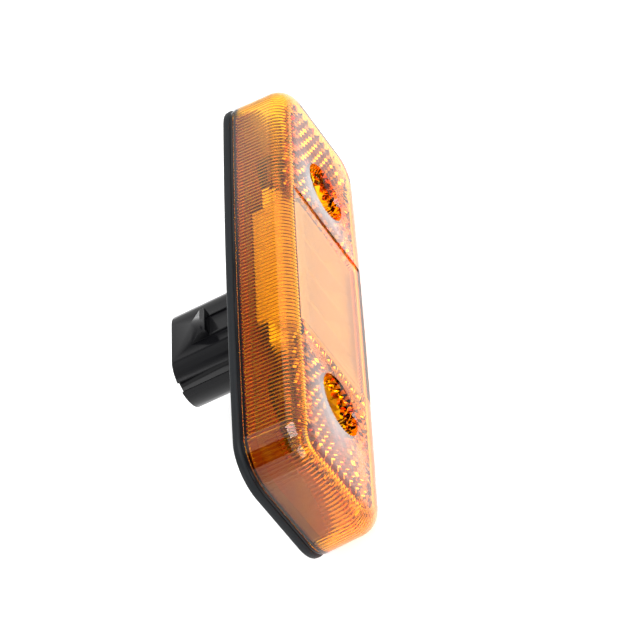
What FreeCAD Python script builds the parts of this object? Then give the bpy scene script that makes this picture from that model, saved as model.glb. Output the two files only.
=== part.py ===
"""Side marker lamp: an amber lens with fluted walls and reflex prisms on a black base with a plug socket.

X runs along the lamp, the lens faces -Y and Z is up. The mounting face is the plane y = 0, and every
level below is measured from it towards the front, so a level sits at y = -level.
"""
import FreeCAD, Part
import math
import os

from FreeCAD import Placement, Rotation, Vector

doc = FreeCAD.newDocument("side_marker_lamp")

# Driving dimensions, in millimetres and degrees
SIZES = {
    "lamp_length": 115.0,
    "lamp_depth": 15.2,
    "end_width": 32.4,
    "side_bow": 0.95,
    "corner_radius": 8.6,
    "pad_thickness": 1.9,
    "pad_edge_bevel": 0.5,
    "flange_thickness": 0.6,
    "flange_inset": 0.35,
    "base_plate_thickness": 2.0,
    "fit_clearance": 0.15,
    "lens_inset": 0.1,
    "lens_wall": 2.0,
    "lens_front_wall": 2.2,
    "lens_draft": 2.3,
    "lens_front_round": 4.5,
    "flute_pitch": 1.8,
    "flute_depth": 0.3,
    "window_length": 40.8,
    "window_width": 27.2,
    "window_depth": 0.3,
    "window_corner": 2.0,
    "well_spacing": 65.3,
    "well_diameter": 13.2,
    "well_wall": 1.6,
    "well_floor": 2.0,
    "screw_hole": 5.5,
    "prism_pitch": 2.9,
    "prism_border": 0.5,
    "prism_rise": 0.1,
    "socket_width": 23.3,
    "socket_height": 12.0,
    "socket_length": 19.4,
    "socket_wall": 1.6,
    "socket_floor": 3.4,
    "socket_clearance": 0.4,
    "latch_width": 6.6,
    "latch_height": 2.2,
    "latch_ramp": 4.6,
    "latch_distance": 10.2,
    "latch_rib_width": 0.6,
    "latch_rib_height": 0.3,
    "key_width": 2.0,
    "key_depth": 1.0,
    "key_angle": 30.0,
    "pin_spacing": 6.0,
    "pin_width": 1.5,
    "pin_thickness": 0.8,
    "pin_reach": 12.4,
    "pin_setback": 0.3,
    "pin_tip": 0.25,
    "seal_length": 13.0,
    "seal_width": 5.0,
    "seal_depth": 1.2,
    "board_width": 22.0,
    "board_thickness": 1.6,
    "board_standoff": 2.5,
    "post_width": 3.2,
    "stake_width": 1.8,
    "stake_head_width": 3.0,
    "stake_head_height": 0.7,
    "box_length": 39.0,
    "box_width": 19.0,
    "box_gap": 0.4,
    "box_end_wall": 0.7,
    "box_foot_length": 4.0,
    "box_foot_thickness": 1.0,
    "cell_floor_length": 4.6,
    "cell_floor_width": 4.0,
    "cell_rib": 1.0,
    "cell_mouth_width": 16.6,
    "light_length": 3.5,
    "light_width": 2.8,
    "light_height": 1.4,
    "light_cup": 2.2,
    "resistor_length": 3.2,
    "resistor_width": 1.6,
    "resistor_height": 0.6,
    "diode_length": 4.3,
    "diode_width": 2.6,
    "diode_height": 2.1,
    "absorber_length": 4.6,
    "absorber_width": 3.6,
    "absorber_height": 2.2,
    "capacitor_length": 3.2,
    "capacitor_width": 2.5,
    "capacitor_height": 1.7,
    "parts_row": 10.5,
    "parts_outer_row": 17.0,
    "parts_side": 4.0,
}

# Levels in front of the mounting face, then lengths: all worked out from the driving dimensions
LEVELS = {
    "rim": "sizes.pad_thickness + sizes.flange_thickness",
    "base_face": "rim + sizes.base_plate_thickness",
    "board_back": "base_face + sizes.board_standoff",
    "board_front": "board_back + sizes.board_thickness",
    "ceiling": "sizes.lamp_depth - sizes.lens_front_wall",
    "box_front": "ceiling - sizes.box_gap",
    "well_seat": "base_face + sizes.well_floor",
    "foot_front": "board_front + sizes.box_foot_thickness",
    "board_length": "sizes.box_length + 2 * sizes.box_foot_length",
    "stake_reach": "(sizes.box_length + sizes.box_foot_length) / 2",
    "light_spacing": "(sizes.box_length - 2 * sizes.box_end_wall) / 4",
    "cell_mouth_length": "light_spacing - sizes.cell_rib",
}

FORWARD = Rotation(Vector(1, 0, 0), 90)
EMBED = 0.3
OVERRUN = 1.0


def fill_sheet(name, cells, prefix):
    sheet = doc.addObject("Spreadsheet::Sheet", name)
    for row, (alias, content) in enumerate(cells.items(), start=1):
        sheet.set(f"A{row}", alias)
        sheet.set(f"B{row}", prefix + str(content))
        sheet.setAlias(f"B{row}", alias)
    doc.recompute()
    return sheet


sizes = fill_sheet("sizes", SIZES, "")
levels = fill_sheet("levels", LEVELS, "=")


def size(alias):
    return float(sizes.get(alias))


def level(alias):
    return float(levels.get(alias))


def add(kind, name, formulas=None, **properties):
    """Add one document object, set its properties and bind its sizes to the sheets."""
    item = doc.addObject(kind, name)
    for key, setting in properties.items():
        setattr(item, key, setting)
    for key, formula in (formulas or {}).items():
        item.setExpression(key, formula)
    return item


def cut(name, base, tool):
    return add("Part::Cut", name, Base=base, Tool=tool)


def fuse(name, *shapes):
    return add("Part::MultiFuse", name, Shapes=list(shapes))


def block(name, length, back, front, width, x="0", z="0"):
    """Box centred on x and z, between two levels given as formulas."""
    return add("Part::Box", name, {
        "Length": length,
        "Width": f"({front}) - ({back})",
        "Height": width,
        "Placement.Base.x": f"({x}) - ({length}) / 2",
        "Placement.Base.y": f"-({front})",
        "Placement.Base.z": f"({z}) - ({width}) / 2",
    })


def rod(name, diameter, back, front, x="0", z="0"):
    """Cylinder along Y between two levels given as formulas."""
    return add("Part::Cylinder", name, {
        "Radius": f"({diameter}) / 2",
        "Height": f"({front}) - ({back})",
        "Placement.Base.x": x,
        "Placement.Base.y": f"-({back})",
        "Placement.Base.z": z,
    }, Placement=Placement(Vector(), FORWARD))


def extrude(name, sketch, length, taper="0"):
    """Solid from a sketch, towards the front."""
    return add("Part::Extrusion", name, {"LengthFwd": length, "TaperAngle": taper},
               Base=sketch, DirMode="Normal", Solid=True)


def sketch_at(name, back):
    sketch = add("Sketcher::SketchObject", name, Placement=Placement(Vector(), FORWARD))
    sketch.setExpression("Placement.Base.y", f"-({back})")
    return sketch


def edges_where(item, test):
    """Numbers of the edges whose vertices all pass the test."""
    doc.recompute()
    return [number for number, edge in enumerate(item.Shape.Edges, start=1)
            if all(test(vertex.Point) for vertex in edge.Vertexes)]


def round_edges(name, base, radius, test):
    edges = edges_where(base, test)
    return add("Part::Fillet", name, Base=base, Edges=[(number, radius, radius) for number in edges])


def bevel(name, base, width, edges):
    return add("Part::Chamfer", name, Base=base, Edges=[(number, width, width) for number in edges])


def round_upright(name, base, radius):
    """Round a block's four edges along Y."""
    doc.recompute()
    edges = [number for number, edge in enumerate(base.Shape.Edges, start=1)
             if len({round(vertex.Point.y, 6) for vertex in edge.Vertexes}) == 2]
    return add("Part::Fillet", name, Base=base, Edges=[(number, radius, radius) for number in edges])


class RimCurve:
    """The lamp's outline: bowed long sides, round corners and straight ends, all tangent."""

    def __init__(self):
        self.half_length = size("lamp_length") / 2
        self.corner = size("corner_radius")
        bow = size("side_bow")
        self.side = (self.half_length ** 2 + bow ** 2) / (2 * bow)
        self.side_z = size("end_width") / 2 + bow - self.side
        self.corner_x = self.half_length - self.corner
        reach = self.side - self.corner
        self.corner_z = self.side_z + math.sqrt(reach ** 2 - self.corner_x ** 2)
        self.lean = math.atan2(self.corner_z - self.side_z, self.corner_x)

    def geometry(self, inset):
        """Arcs and lines of the outline moved inwards by the inset."""
        up = Vector(0, 0, 1)
        side = self.side - inset
        corner = self.corner - inset
        end_x = self.half_length - inset
        items = []
        for turn in (0, math.pi):
            sign = math.cos(turn)
            centre = Vector(0, sign * self.side_z, 0)
            arc = Part.Circle(centre, up, side)
            items.append(Part.ArcOfCircle(arc, turn + self.lean, turn + math.pi - self.lean))
            for x, start, stop in ((1, 0, self.lean), (-1, math.pi - self.lean, math.pi)):
                centre = Vector(sign * x * self.corner_x, sign * self.corner_z, 0)
                arc = Part.Circle(centre, up, corner)
                items.append(Part.ArcOfCircle(arc, turn + start, turn + stop))
            low = Vector(sign * end_x, -self.corner_z, 0)
            high = Vector(sign * end_x, self.corner_z, 0)
            items.append(Part.LineSegment(low, high))
        return items

    def flute_stations(self, pitch):
        """Walk round the outline in half flutes, as (turning centre, radius, direction, is ridge).

        Each stretch starts and ends in a valley. A straight end has no turning centre.
        """
        stations = []
        for turn in (0, math.pi):
            sign = math.cos(turn)
            end_count = 2 * round(2 * self.corner_z / pitch)
            for number in range(end_count):
                z = sign * self.corner_z * (2 * number / end_count - 1)
                stations.append((Vector(sign * self.half_length, 0, z), 0, Vector(sign, 0, 0), number % 2))
            corner = Vector(sign * self.corner_x, 0, sign * self.corner_z)
            side = Vector(0, 0, sign * self.side_z)
            far_corner = Vector(-sign * self.corner_x, 0, sign * self.corner_z)
            for centre, radius, start, stop in ((corner, self.corner, 0, self.lean),
                                                (side, self.side, self.lean, math.pi - self.lean),
                                                (far_corner, self.corner, math.pi - self.lean, math.pi)):
                count = 2 * round(radius * (stop - start) / pitch)
                for number in range(count):
                    angle = turn + start + (stop - start) * number / count
                    ray = Vector(math.cos(angle), 0, math.sin(angle))
                    stations.append((centre, radius, ray, number % 2))
        return stations


rim_curve = RimCurve()


def outline_sketch(name, inset, back):
    sketch = sketch_at(name, back)
    sketch.addGeometry(rim_curve.geometry(inset), False)
    return sketch


def slot_sketch(name, width, height, back):
    """Slot with round ends, as wide and high as asked."""
    sketch = sketch_at(name, back)
    radius = height / 2
    reach = width / 2 - radius
    up = Vector(0, 0, 1)
    quarter = math.pi / 2
    sketch.addGeometry([
        Part.ArcOfCircle(Part.Circle(Vector(reach, 0, 0), up, radius), -quarter, quarter),
        Part.LineSegment(Vector(reach, radius, 0), Vector(-reach, radius, 0)),
        Part.ArcOfCircle(Part.Circle(Vector(-reach, 0, 0), up, radius), quarter, 3 * quarter),
        Part.LineSegment(Vector(-reach, -radius, 0), Vector(reach, -radius, 0)),
    ], False)
    return sketch


def screw_holes(name, diameter, back, front):
    """Two rods at the fixing screws."""
    sides = (("right", "sizes.well_spacing / 2"), ("left", "-sizes.well_spacing / 2"))
    return fuse(name, *[rod(f"{name}_{side}", diameter, back, front, x) for side, x in sides])


def at_stakes(name, width, back, front):
    """Two square bars at the stakes that hold the board and the light box."""
    sides = (("right", "levels.stake_reach"), ("left", "-levels.stake_reach"))
    return fuse(name, *[block(f"{name}_{side}", width, back, front, width, x) for side, x in sides])


def make_mounting_pad():
    """Rubber pad: the rim outline with rounded edges, opened for the socket and the screws."""
    sheet = extrude("pad_sheet", outline_sketch("pad_outline", 0, "0"), "sizes.pad_thickness")
    faces = (0, -size("pad_thickness"))
    edges = edges_where(sheet, lambda point: min(abs(point.y - face) for face in faces) < 1e-6)
    soft = bevel("pad_soft", sheet, size("pad_edge_bevel"),
                 [number for number in edges if sheet.Shape.Edges[number - 1].BoundBox.YLength < 1e-6])
    room = 2 * size("socket_clearance")
    opening = slot_sketch("pad_opening", size("socket_width") + room, size("socket_height") + room,
                          f"-{OVERRUN}")
    hole = extrude("pad_socket_hole", opening, f"sizes.pad_thickness + {2 * OVERRUN}")
    screws = screw_holes("pad_screw_holes", "sizes.screw_hole", f"-{OVERRUN}",
                         f"sizes.pad_thickness + {OVERRUN}")
    return cut("mounting_pad", soft, fuse("pad_openings", hole, screws))


def lens_inset_at(depth):
    """How far the drafted outside of the lens lies inside the rim outline at a level."""
    return size("lens_inset") + (depth - level("rim")) * math.tan(math.radians(size("lens_draft")))


def inner_round():
    """Radius of the round inside the lens, between its walls and its front."""
    return level("ceiling") - (size("lamp_depth") - size("lens_front_round"))


def fluted_ring(stations, depth, extra):
    """Zigzag at a level, on the inside of the lens wall. Ridges shrink with the radius, so faces stay flat."""
    inset = lens_inset_at(depth) + size("lens_wall") + extra
    points = []
    for centre, radius, ray, ridge in stations:
        height = ridge * size("flute_depth")
        if radius:
            height *= (radius - inset) / (radius - size("lens_inset") - size("lens_wall"))
        point = centre + ray * (radius - inset - height)
        points.append(Vector(point.x, -depth, point.z))
    return points


def polyhedron(loops):
    """Closed solid from flat faces, each given as a loop of corners."""
    shell = Part.makeShell([Part.Face(Part.makePolygon(loop + loop[:1])) for loop in loops])
    shell.sewShape()
    solid = Part.makeSolid(shell)
    if solid.Volume < 0:
        solid.reverse()
    return solid


def make_fluted_hollow():
    """Hollow of the lens as flat-sided flutes, which follow the round into its ceiling."""
    stations = rim_curve.flute_stations(size("flute_pitch"))
    radius = inner_round()
    start = level("ceiling") - radius
    rings = [fluted_ring(stations, level("rim") - OVERRUN, 0)]
    for angle in (0, 90):
        turn = math.radians(angle)
        rings.append(fluted_ring(stations, start + radius * math.sin(turn), radius * (1 - math.cos(turn))))
    loops = [rings[0], rings[-1]]
    for low, high in zip(rings, rings[1:]):
        for number in range(len(stations)):
            after = (number + 1) % len(stations)
            loops.append([low[number], low[after], high[after], high[number]])
    return add("Part::Feature", "fluted_hollow", Shape=polyhedron(loops))


def corner_cube_field(start_x, reach_x, reach_z, base, top):
    """Field of cube corners on a hexagon grid, each corner pointing back into the lamp."""
    pitch = size("prism_pitch")
    radius = pitch / math.sqrt(3)
    step = pitch / math.sqrt(6)
    row = pitch * math.cos(math.radians(30))
    cells = [(start_x + column * row, (line + column % 2 / 2) * pitch)
             for column in range(math.ceil((reach_x - start_x) / row) + 1)
             for line in range(-math.ceil(reach_z / pitch) - 1, math.ceil(reach_z / pitch) + 1)]

    def corner(cell, turn, height):
        angle = math.radians(60 * turn)
        return Vector(cell[0] + radius * math.cos(angle), height, cell[1] + radius * math.sin(angle))

    def key(point):
        return round(point.x, 4), round(point.z, 4)

    faces = []
    rims = {}
    for cell in cells:
        heights = [top + step * (1 - turn % 2) for turn in range(6)]
        rim = [corner(cell, turn, heights[turn]) for turn in range(6)]
        apex = Vector(cell[0], top + 2 * step, cell[1])
        for turn in (0, 2, 4):
            faces.append([apex, rim[turn], rim[turn + 1], rim[(turn + 2) % 6]])
        faces.append([corner(cell, turn, base) for turn in range(6)])
        for turn in range(6):
            edge = (rim[turn], rim[(turn + 1) % 6])
            rims.setdefault(frozenset(map(key, edge)), []).append(edge)
    for edges in rims.values():
        if len(edges) == 1:
            first, second = edges[0]
            faces.append([first, second, Vector(second.x, base, second.z), Vector(first.x, base, first.z)])
    return polyhedron(faces)


def make_prism_fields():
    """The two reflex reflector zones: cube corners trimmed to the room between window, wall and well."""
    inset = (lens_inset_at(level("ceiling")) + size("lens_wall") + inner_round()
             + size("flute_depth") + size("prism_border"))
    zone_sketch = outline_sketch("prism_outline", inset, "levels.ceiling - sizes.prism_pitch")
    zone = extrude("prism_zone", zone_sketch, f"sizes.prism_pitch + {EMBED}")
    inner_x = "sizes.window_length / 2 + sizes.prism_border"
    half = block("prism_half", "sizes.lamp_length / 2", "0", "sizes.lamp_depth", "sizes.end_width * 2",
                 f"{inner_x} + sizes.lamp_length / 4")
    tube = add("Part::Prism", "prism_well_room", {
        "Circumradius": "(sizes.well_diameter / 2 + sizes.well_wall + sizes.prism_border) / cos(22.5 deg)",
        "Height": "sizes.lamp_depth",
        "Placement.Base.x": "sizes.well_spacing / 2",
    }, Polygon=8, Placement=Placement(Vector(), FORWARD))
    right_zone = cut("prism_room", add("Part::Common", "prism_right_zone", Base=zone, Tool=half), tube)
    field = add("Part::Feature", "cube_corners")
    field.Shape = corner_cube_field(size("window_length") / 2, size("lamp_length") / 2, size("end_width") / 2,
                                    -level("ceiling") - 2 * EMBED, size("prism_rise") - level("ceiling"))
    right = add("Part::Common", "prisms_right", Base=field, Tool=right_zone)
    left = add("Part::Mirroring", "prisms_left", Source=right, Normal=Vector(1, 0, 0))
    return right, left


def make_lens():
    """Amber cap: drafted outside with a round front edge, fluted hollow, screw wells, prisms and window."""
    outline = outline_sketch("lens_outline", size("lens_inset"), "levels.rim")
    cap = extrude("lens_cap", outline, "sizes.lamp_depth - levels.rim", "-sizes.lens_draft")
    front = -size("lamp_depth")
    rounded = round_edges("lens_round", cap, size("lens_front_round"),
                          lambda point: abs(point.y - front) < 1e-6)
    wells = screw_holes("well_bores", "sizes.well_diameter", "levels.well_seat",
                        f"sizes.lamp_depth + {OVERRUN}")
    holes = screw_holes("lens_screw_holes", "sizes.screw_hole", "levels.rim", "sizes.lamp_depth")
    window = block("window_block", "sizes.window_length", "sizes.lamp_depth - sizes.window_depth",
                   f"sizes.lamp_depth + {OVERRUN}", "sizes.window_width")
    recess = round_upright("window_recess", window, size("window_corner"))
    outside = cut("lens_outside", rounded, fuse("lens_openings", wells, holes, recess))
    tubes = screw_holes("well_tubes", "sizes.well_diameter + 2 * sizes.well_wall", "levels.base_face",
                        f"levels.ceiling + {EMBED}")
    inside = cut("lens_inside", make_fluted_hollow(), fuse("lens_inner_forms", tubes, *make_prism_fields()))
    return cut("lens", outside, inside)


def make_latch():
    """Snap ramp on the socket's upper side, with the two guide ribs that lead to it."""
    along_x = Rotation(Vector(0, 1, 0), Vector(0, 0, 1), Vector(1, 0, 0))
    profile = add("Sketcher::SketchObject", "latch_profile", Placement=Placement(Vector(), along_x))
    top = size("socket_height") / 2
    foot = top - size("socket_wall") / 2
    near = size("latch_distance")
    far = near + size("latch_ramp")
    corners = [Vector(near, foot, 0), Vector(far, foot, 0), Vector(far, top, 0),
               Vector(near + size("latch_ramp") / 4, top + size("latch_height"), 0),
               Vector(near, top + size("latch_height"), 0)]
    profile.addGeometry([Part.LineSegment(start, stop)
                         for start, stop in zip(corners, corners[1:] + corners[:1])], False)
    profile.setExpression("Placement.Base.x", "-sizes.latch_width / 2")
    ramp = add("Part::Extrusion", "latch_ramp_solid", {"LengthFwd": "sizes.latch_width"},
               Base=profile, DirMode="Normal", Solid=True)
    rib_height = "sizes.latch_rib_height + sizes.socket_wall / 2"
    rib_z = "sizes.socket_height / 2 - sizes.socket_wall / 2 + (" + rib_height + ") / 2"
    ribs = [block(f"latch_rib_{side}", "sizes.latch_rib_width", "-sizes.latch_distance", "levels.rim / 2",
                  rib_height, f"{sign} * (sizes.latch_width - sizes.latch_rib_width) / 2", rib_z)
            for side, sign in (("right", 1), ("left", -1))]
    return [ramp] + ribs


def make_keyway(side, turn):
    """Groove along one round end of the socket, which a rib of the plug runs in."""
    groove = add("Part::Box", f"keyway_{side}", {
        "Length": "2 * sizes.key_depth", "Width": f"sizes.socket_length + {OVERRUN}",
        "Height": "sizes.key_width"})
    reach = (size("socket_width") - size("socket_height")) / 2
    angle = turn + (-1 if turn else 1) * size("key_angle")
    spin = Rotation(Vector(0, -1, 0), angle)
    offset = Vector(size("socket_height") / 2 - size("key_depth"), 0, -size("key_width") / 2)
    centre = Vector(-reach if turn else reach, 0, 0)
    groove.Placement = Placement(centre + spin.multVec(offset), spin)
    return groove


def make_base_housing():
    """Black base: flange, plug plate, board posts with stakes, and the socket with its latch and keyways."""
    flange = extrude("base_flange", outline_sketch("flange_outline", size("flange_inset"),
                                                   "sizes.pad_thickness"), "sizes.flange_thickness")
    inset = size("lens_wall") + size("flute_depth") + size("fit_clearance")
    plate = extrude("base_plate", outline_sketch("plate_outline", inset + lens_inset_at(level("base_face")),
                                                 "levels.rim"), "sizes.base_plate_thickness")
    shroud = extrude("socket_shroud", slot_sketch("shroud_outline", size("socket_width"),
                                                  size("socket_height"), "-sizes.socket_length"),
                     "sizes.socket_length + levels.rim")
    posts = [at_stakes("posts", "sizes.post_width", "levels.rim", "levels.board_back"),
             at_stakes("stakes", "sizes.stake_width", "levels.rim", "levels.foot_front"),
             at_stakes("stake_heads", "sizes.stake_head_width", "levels.foot_front",
                       "levels.foot_front + sizes.stake_head_height")]
    solid = fuse("base_solid", flange, plate, shroud, *make_latch(), *posts)
    room = 2 * size("socket_wall")
    mouth = extrude("socket_mouth", slot_sketch("mouth_outline", size("socket_width") - room,
                                                size("socket_height") - room,
                                                f"-(sizes.socket_length + {OVERRUN})"),
                    f"sizes.socket_length + {OVERRUN} - sizes.socket_floor")
    pocket = extrude("seal_pocket", slot_sketch("pocket_outline", size("seal_length"), size("seal_width"),
                                                "levels.base_face - sizes.seal_depth"),
                     f"sizes.seal_depth + {OVERRUN}")
    slots = [block(f"pin_slot_{side}", "sizes.pin_width", "-sizes.socket_length", "levels.base_face",
                   "sizes.pin_thickness", f"{sign} * sizes.pin_spacing / 2")
             for side, sign in (("right", 1), ("left", -1))]
    screws = screw_holes("base_screw_holes", "sizes.screw_hole", "0", "levels.base_face + sizes.well_floor")
    keys = [make_keyway("right", 0), make_keyway("left", 180)]
    return cut("base_housing", solid, fuse("base_openings", mouth, pocket, screws, *slots, *keys))


def make_pin(name, sign):
    """Contact blade from the board through the base into the socket, with a chamfered tip."""
    blade = block(f"{name}_blade", "sizes.pin_width", "-sizes.pin_reach",
                  "levels.board_front - sizes.pin_setback", "sizes.pin_thickness",
                  f"{sign} * sizes.pin_spacing / 2")
    tip = size("pin_reach")
    edges = edges_where(blade, lambda point: abs(point.y - tip) < 1e-6)
    return bevel(name, blade, size("pin_tip"), edges)


def pin_openings(name, back, front):
    return [block(f"{name}_{side}", "sizes.pin_width", back, front, "sizes.pin_thickness",
                  f"{sign} * sizes.pin_spacing / 2") for side, sign in (("right", 1), ("left", -1))]


def make_pin_seal():
    """Sealing compound in the base pocket round the two contacts."""
    fill = extrude("seal_fill", slot_sketch("seal_outline", size("seal_length"), size("seal_width"),
                                            "levels.base_face - sizes.seal_depth"), "sizes.seal_depth")
    return cut("pin_seal", fill, fuse("seal_pin_room", *pin_openings("seal_pin", "0", "levels.board_back")))


def make_circuit_board():
    sheet = block("board_sheet", "levels.board_length", "levels.board_back", "levels.board_front",
                  "sizes.board_width")
    holes = at_stakes("board_stake_holes", "sizes.stake_width", "levels.base_face", "levels.ceiling")
    pins = pin_openings("board_pin", "levels.base_face", "levels.ceiling")
    return cut("circuit_board", sheet, fuse("board_holes", holes, *pins))


def make_light_box():
    """White frame over the board: one flared cell for each light source and a staked foot at each end."""
    walls = block("box_walls", "sizes.box_length", "levels.board_front", "levels.box_front",
                  "sizes.box_width")
    feet = block("box_feet", "levels.board_length", "levels.board_front",
                 "levels.foot_front", "sizes.box_width")
    cells = []
    for number in range(4):
        place = f"{number - 1.5} * levels.light_spacing"
        cells.append(add("Part::Wedge", f"box_cell_{number}", {
            "Xmin": f"{place} - sizes.cell_floor_length / 2", "Xmax": f"{place} + sizes.cell_floor_length / 2",
            "Zmin": "-sizes.cell_floor_width / 2", "Zmax": "sizes.cell_floor_width / 2",
            "X2min": f"{place} - levels.cell_mouth_length / 2",
            "X2max": f"{place} + levels.cell_mouth_length / 2",
            "Z2min": "-sizes.cell_mouth_width / 2", "Z2max": "sizes.cell_mouth_width / 2",
            "Ymin": "0", "Ymax": "levels.box_front - levels.board_front",
            "Placement.Base.y": "-levels.board_front",
        }, Placement=Placement(Vector(), Rotation(Vector(0, 0, 1), 180))))
    holes = at_stakes("box_stake_holes", "sizes.stake_width", "levels.base_face", "levels.ceiling")
    return cut("light_box", fuse("box_solid", walls, feet), fuse("box_openings", holes, *cells))


def make_light(name, number):
    """Surface mounted light source with a shallow cup in its front."""
    place = f"{number - 1.5} * levels.light_spacing"
    front = "levels.board_front + sizes.light_height"
    body = block(f"{name}_body", "sizes.light_length", "levels.board_front", front, "sizes.light_width", place)
    cup = block(f"{name}_cup", "sizes.light_cup", "levels.board_front + sizes.light_height * 2 / 3",
                f"{front} + {OVERRUN}", "sizes.light_cup", place)
    return cut(name, body, cup)


def make_board_part(name, kind, x, z):
    """Small moulded part on the back of the board."""
    return block(name, f"sizes.{kind}_length", f"levels.board_back - sizes.{kind}_height",
                 "levels.board_back", f"sizes.{kind}_width", x, z)


def make_parts():
    parts = [make_mounting_pad(), make_lens(), make_base_housing(), make_circuit_board(), make_light_box(),
             make_pin_seal(), make_pin("supply_pin", 1), make_pin("ground_pin", -1)]
    names = ("led_left_outer", "led_left_inner", "led_right_inner", "led_right_outer")
    parts += [make_light(name, number) for number, name in enumerate(names)]
    row, outer, side = "sizes.parts_row", "sizes.parts_outer_row", "sizes.parts_side"
    parts += [
        make_board_part("resistor_left", "resistor", f"-{outer}", f"-{side}"),
        make_board_part("resistor_right", "resistor", outer, f"-{side}"),
        make_board_part("protection_diode", "diode", row, side),
        make_board_part("surge_absorber", "absorber", f"-{row}", side),
        make_board_part("filter_capacitor", "capacitor", f"-{row}", f"-{side}"),
    ]
    return parts


def check(parts):
    """Stop if any object failed, or if a finished sub-part has no sound shape."""
    for item in doc.Objects:
        if {"Invalid", "Error"} & set(item.State):
            raise RuntimeError(f"{item.Label} did not build: {item.State}")
    for item in parts:
        if item.Shape.isNull() or not item.Shape.isValid():
            raise RuntimeError(f"{item.Label} has no sound shape")


def main():
    parts = make_parts()
    doc.recompute()
    check(parts)
    os.makedirs("parts", exist_ok=True)
    for item in parts:
        item.Shape.exportStep(os.path.join("parts", f"{item.Label}.step"))
        print(item.Label, len(item.Shape.Solids), "solid", round(item.Shape.Volume, 1), "mm3")


main()
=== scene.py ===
# %% [markdown]
# # Side marker lamp
# An amber lamp for the flank of a truck or trailer. One transparent moulding holds everything that is
# seen: fluted walls, two screw wells, a plain window and two fields of reflex prisms. Behind it sit a soft
# rubber pad and a black base whose plug socket goes through the panel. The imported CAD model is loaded
# first and stays fixed; this lesson dresses it.

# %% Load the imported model
import math

import bmesh
import bpy
from mathutils import Matrix, Vector
from mathutils.geometry import delaunay_2d_cdt


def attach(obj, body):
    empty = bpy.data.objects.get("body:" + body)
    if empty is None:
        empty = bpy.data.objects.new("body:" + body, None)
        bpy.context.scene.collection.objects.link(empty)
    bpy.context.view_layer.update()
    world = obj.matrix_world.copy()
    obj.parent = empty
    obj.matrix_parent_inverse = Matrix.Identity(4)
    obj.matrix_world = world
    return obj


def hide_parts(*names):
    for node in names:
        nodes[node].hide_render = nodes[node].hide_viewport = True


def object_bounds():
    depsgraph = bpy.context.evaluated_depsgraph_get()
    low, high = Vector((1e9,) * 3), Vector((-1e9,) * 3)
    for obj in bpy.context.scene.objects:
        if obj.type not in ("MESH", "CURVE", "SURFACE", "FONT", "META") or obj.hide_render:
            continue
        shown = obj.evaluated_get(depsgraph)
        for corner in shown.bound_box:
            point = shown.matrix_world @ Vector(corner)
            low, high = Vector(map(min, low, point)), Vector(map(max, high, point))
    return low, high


MM = 0.001
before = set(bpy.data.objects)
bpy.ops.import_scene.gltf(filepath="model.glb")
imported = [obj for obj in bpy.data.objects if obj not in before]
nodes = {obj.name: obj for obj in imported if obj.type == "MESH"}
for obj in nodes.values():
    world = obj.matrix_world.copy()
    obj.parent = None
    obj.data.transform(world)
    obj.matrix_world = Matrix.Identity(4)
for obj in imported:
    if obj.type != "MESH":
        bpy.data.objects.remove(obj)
cad_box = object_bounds()
print("loaded", len(nodes), "nodes")

# %% [markdown]
# ## The lamp's outline
# Lens and pad share one outline: long sides that bow out a little, round corners and straight ends, all
# tangent. It could be drawn as a curve object, but every ring of the lens is that outline moved inwards.
# So each point is kept as a turning centre, a radius and a direction: moving inwards only shortens the
# radius, and all rings have points that match one to one.

# %% Walk round the outline
HALF_LENGTH = 57.5
END_HALF = 16.2
SIDE_BOW = 0.95
CORNER = 8.6
OUTLINE_STEP = 1.2
SIDE = (HALF_LENGTH ** 2 + SIDE_BOW ** 2) / (2 * SIDE_BOW)
SIDE_Z = END_HALF + SIDE_BOW - SIDE
CORNER_X = HALF_LENGTH - CORNER
CORNER_Z = SIDE_Z + math.sqrt((SIDE - CORNER) ** 2 - CORNER_X ** 2)
LEAN = math.atan2(CORNER_Z - SIDE_Z, CORNER_X)


def walk_outline(step, parts=1):
    """Points round the outline, as (centre x, centre z, radius, direction, place within its step)."""
    walk = []
    for turn in (0, math.pi):
        sign = math.cos(turn)
        count = round(2 * CORNER_Z / step) * parts
        for number in range(count):
            z = sign * CORNER_Z * (2 * number / count - 1)
            walk.append((sign * HALF_LENGTH, z, 0, (sign, 0), number % parts / parts))
        for x, z, radius, start, stop in ((sign * CORNER_X, sign * CORNER_Z, CORNER, 0, LEAN),
                                          (0, sign * SIDE_Z, SIDE, LEAN, math.pi - LEAN),
                                          (-sign * CORNER_X, sign * CORNER_Z, CORNER, math.pi - LEAN,
                                           math.pi)):
            count = round(radius * (stop - start) / step) * parts
            for number in range(count):
                angle = turn + start + (stop - start) * number / count
                walk.append((x, z, radius, (math.cos(angle), math.sin(angle)), number % parts / parts))
    return walk


def ring(walk, inset, ridge=0, end_ridge=0):
    """The outline moved inwards, with ribs further in, of one height on the sides and one at the ends."""
    points = []
    for x, z, radius, way, place in walk:
        height = ridge if radius == SIDE else end_ridge
        reach = radius - inset - height * math.sin(math.pi * place)
        points.append((x + way[0] * reach, z + way[1] * reach))
    return points


def inset_of(x, z):
    """How far a point lies inside the outline."""
    x, z = abs(x), abs(z)
    depth = min(HALF_LENGTH - x, SIDE - math.hypot(x, z - SIDE_Z))
    if x > CORNER_X and z > CORNER_Z:
        depth = min(depth, CORNER - math.hypot(x - CORNER_X, z - CORNER_Z))
    return depth


print("outline corner centre", round(CORNER_X, 2), round(CORNER_Z, 2))

# %% [markdown]
# ## Mesh helpers
# A ring becomes a row of vertices at a level in front of the mounting face, two rows are bridged by quads,
# and a flat face with holes is filled by a constrained triangulation. The alternative, boolean cuts, is
# quicker to write, but leaves long thin triangles that show as streaks in glass. Small quarter rounds are cut
# in two: their middle point lies three tenths of the radius in from both faces.

# %% Rows, bridges and filled faces
QUARTER = 0.3
KEEP_INSIDE, MERGE_DISTANCE = 1, 1e-5


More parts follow.
